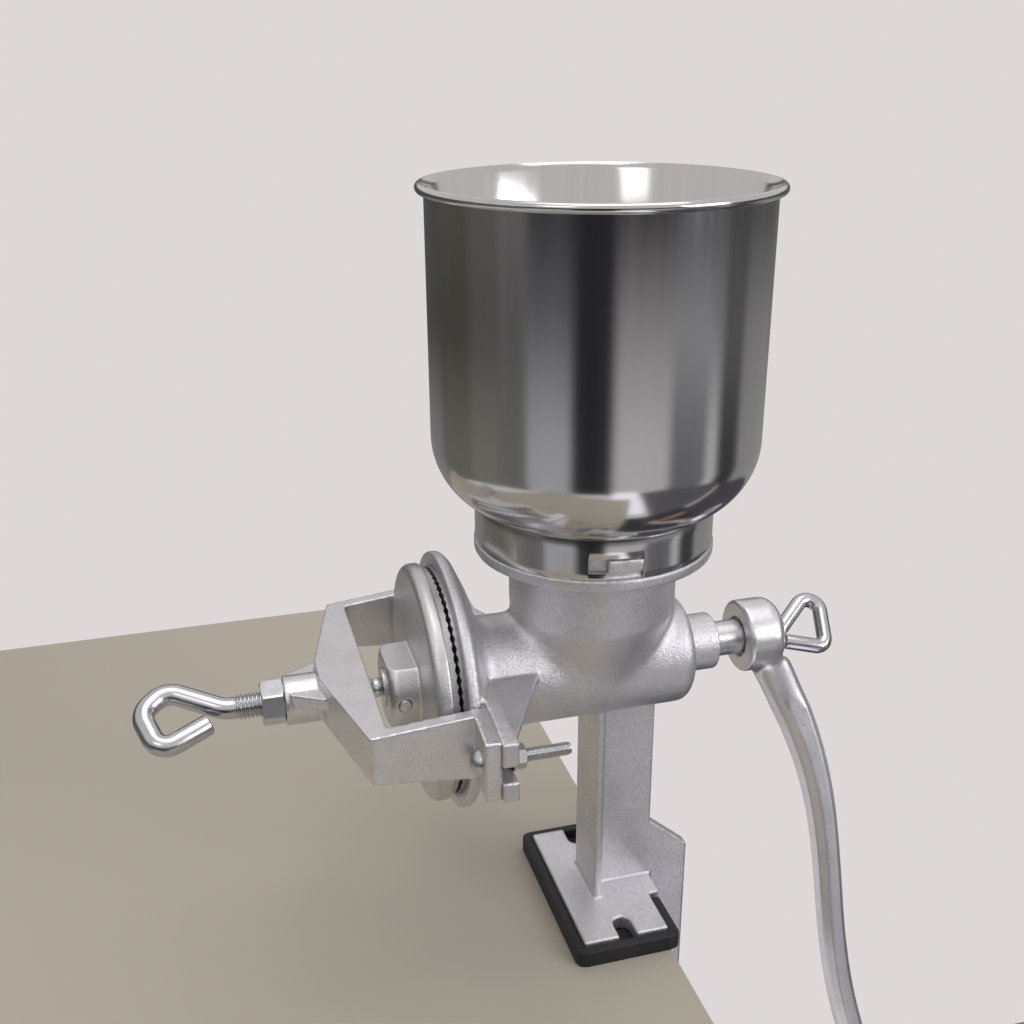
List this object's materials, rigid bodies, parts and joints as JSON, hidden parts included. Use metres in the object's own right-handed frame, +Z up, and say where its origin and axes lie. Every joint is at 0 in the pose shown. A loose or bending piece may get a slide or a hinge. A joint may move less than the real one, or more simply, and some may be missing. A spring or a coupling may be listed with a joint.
{
  "type": "hand grain mill",
  "caption": "Table-clamped hand mill: steel hopper over a cast worm barrel, plate burrs set by a yoke and screw, and a side crank.",
  "frame": {"origin": "on the table under the rubber foot, straight below the middle of the hopper", "axes": "+X along the worm shaft towards the crank, +Y away from the side seen in the picture, +Z up"},
  "size_m": [0.403, 0.1647, 0.4718],
  "materials": {
    "cast_body": "tinned casting, satin with a fine grain",
    "hopper_steel": "polished stainless sheet, mirror",
    "rubber_foot": "matt black",
    "burr_iron": "bare hardened iron",
    "screw_steel": "plated",
    "cast_rotor": "tinned, machined rim",
    "cast_auger": "tinned, journals ground bright",
    "ball_steel": "polished bearing steel",
    "cast_yoke": "tinned casting, smooth",
    "zinc_rod": "bright zinc plate",
    "cast_crank": "tinned casting, bright and smooth",
    "grip_wood": "turned hardwood, oiled"
  },
  "bodies": {
    "root": {"mill_body": "cast_body", "foot_pad": "rubber_foot", "fixed_burr": "burr_iron", "fixed_burr_screws": "screw_steel", "yoke": "cast_yoke", "yoke_bolts": "screw_steel", "yoke_washers": "screw_steel", "yoke_nuts": "screw_steel"},
    "hopper": {"hopper_bowl": "hopper_steel", "hopper_collar": "hopper_steel"},
    "thrust": {"thrust_ball": "ball_steel"},
    "rotor": {"auger": "cast_auger", "rotor_plate": "cast_rotor", "moving_burr": "burr_iron", "moving_burr_screws": "screw_steel", "rotor_pin": "screw_steel", "crank_arm": "cast_crank", "grip_spindle": "zinc_rod", "grip_washers": "zinc_rod", "grip_nut": "zinc_rod"},
    "adjuster": {"adjusting_screw": "zinc_rod"},
    "locknut": {"adjusting_locknut": "zinc_rod"},
    "crank_washer": {"crank_washer": "zinc_rod"},
    "crank_screw": {"crank_screw": "zinc_rod"},
    "grip": {"grip": "grip_wood"},
    "clamp_pad": {"clamp_pad": "zinc_rod"},
    "clamp_screw": {"clamp_screw": "zinc_rod"}
  },
  "joints": [
    {"name": "hopper_twist", "type": "hinge", "parent": "root", "child": "hopper", "pos_m": [0, 0, 0.184], "axis": [0, 0, 1], "range_deg": [0, 8]},
    {"name": "burr_gap", "type": "slide", "parent": "root", "child": "thrust", "axis": [-1, 0, 0], "range_m": [-0.0007, 0.003]},
    {"name": "crank_spin", "type": "hinge", "parent": "thrust", "child": "rotor", "pos_m": [0, 0, 0.124], "axis": [1, 0, 0], "continuous": true},
    {"name": "adjuster_turn", "type": "hinge", "parent": "thrust", "child": "adjuster", "pos_m": [-0.12, 0, 0.124], "axis": [-1, 0, 0], "range_deg": [-170, 722]},
    {"name": "locknut_turn", "type": "hinge", "parent": "root", "child": "locknut", "pos_m": [-0.132, 0, 0.124], "axis": [-1, 0, 0], "range_deg": [0, 360]},
    {"name": "crank_washer_slide", "type": "slide", "parent": "rotor", "child": "crank_washer", "axis": [1, 0, 0], "range_m": [0, 0.01]},
    {"name": "crank_screw_turn", "type": "hinge", "parent": "crank_washer", "child": "crank_screw", "pos_m": [0.09, 0, 0.124], "axis": [1, 0, 0], "range_deg": [0, 3610]},
    {"name": "grip_spin", "type": "hinge", "parent": "rotor", "child": "grip", "pos_m": [0.166, -0.07422, -0.07991], "axis": [1, 0, 0], "continuous": true},
    {"name": "clamp_travel", "type": "slide", "parent": "root", "child": "clamp_pad", "axis": [0, 0, 1], "range_m": [-0.017, 0.024]},
    {"name": "clamp_turn", "type": "hinge", "parent": "clamp_pad", "child": "clamp_screw", "pos_m": [0.005, 0, -0.0335], "axis": [0, 0, 1], "range_deg": [-4085, 5765]}
  ],
  "couplings": [
    {"joint": "adjuster_turn", "follows": "burr_gap", "rad_per_m": 4188.8},
    {"joint": "crank_screw_turn", "follows": "crank_washer_slide", "rad_per_m": 6283.2},
    {"joint": "clamp_turn", "follows": "clamp_travel", "rad_per_m": 4188.8}
  ]
}
